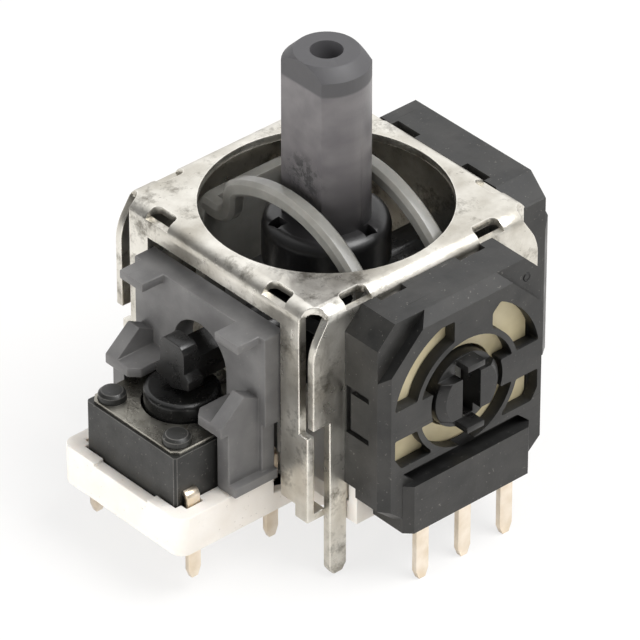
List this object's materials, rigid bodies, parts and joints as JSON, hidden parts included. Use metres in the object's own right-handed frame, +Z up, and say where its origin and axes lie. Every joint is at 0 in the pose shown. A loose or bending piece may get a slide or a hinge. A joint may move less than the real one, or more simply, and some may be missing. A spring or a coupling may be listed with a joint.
{
  "type": "thumb stick module",
  "caption": "Thumb stick module: sheet-steel frame over a white base, rotary sensors on adjacent sides, a push switch in a side tray and a grey lever with flats.",
  "frame": {"origin": "on the lever's axis, in the plane of the base's underside that rests on the circuit board", "axes": "+Z up along the lever, -X towards the push switch's tray, -Y towards the front sensor, +X towards the side sensor"},
  "size_m": [0.0219, 0.0165, 0.0221],
  "materials": {
    "frame_steel": "tinned, scuffed",
    "white_plastic": "satin",
    "grey_plastic": "satin",
    "lever_plastic": "satin",
    "black_plastic": "satin",
    "arch_plastic": "slightly clear",
    "wafer": "matt",
    "lead_metal": "tinned",
    "spring_steel": "bright",
    "contact_brass": "bright"
  },
  "bodies": {
    "module": {"frame_cover": "frame_steel", "base_tray": "white_plastic", "switch_holder": "grey_plastic", "front_pot_housing": "black_plastic", "front_pot_wafer": "wafer", "front_pot_terminals": "lead_metal", "side_pot_housing": "black_plastic", "side_pot_wafer": "wafer", "side_pot_terminals": "lead_metal", "switch_body": "black_plastic", "switch_cover_plate": "frame_steel", "switch_terminals": "lead_metal", "switch_dome": "spring_steel", "return_spring": "spring_steel"},
    "side_rotor_body": {"side_rotor": "black_plastic", "side_wiper": "contact_brass"},
    "lower_arm_body": {"lower_arm": "black_plastic", "stick_pin": "spring_steel"},
    "stick_body": {"stick": "lever_plastic"},
    "arch_body": {"arch": "arch_plastic", "front_rotor": "black_plastic", "front_wiper": "contact_brass"},
    "plunger_body": {"switch_plunger": "black_plastic"},
    "seat_body": {"spring_seat": "black_plastic"}
  },
  "joints": [
    {"name": "side_axis_tilt", "type": "hinge", "parent": "module", "child": "side_rotor_body", "pos_m": [0, 0, 0.00612], "axis": [1, 0, 0], "range_deg": [-18, 18], "stiffness_Nm_per_rad": 0.01},
    {"name": "lever_press", "type": "hinge", "parent": "side_rotor_body", "child": "lower_arm_body", "pos_m": [0.0075, 0, 0.00612], "axis": [0, -1, 0], "range_deg": [0, 1.08], "stiffness_Nm_per_rad": 1.2},
    {"name": "front_axis_tilt", "type": "hinge", "parent": "lower_arm_body", "child": "stick_body", "pos_m": [0, 0, 0.00612], "axis": [0, 1, 0], "range_deg": [-18, 18], "stiffness_Nm_per_rad": 0.01},
    {"name": "arch_swing", "type": "hinge", "parent": "module", "child": "arch_body", "pos_m": [0, 0, 0.00612], "axis": [0, 1, 0], "range_deg": [-18, 18]},
    {"name": "plunger_press", "type": "slide", "parent": "module", "child": "plunger_body", "axis": [0, 0, -1], "range_m": [0, 0.00031]},
    {"name": "seat_slide", "type": "slide", "parent": "module", "child": "seat_body", "axis": [0, 0, -1], "range_m": [0, 0.0003], "stiffness_N_per_m": 300, "deforming": ["return_spring"]}
  ],
  "couplings": [
    {"joint": "arch_swing", "follows": "front_axis_tilt", "ratio": 1},
    {"joint": "plunger_press", "follows": "lever_press", "m_per_rad": 0.01592}
  ]
}
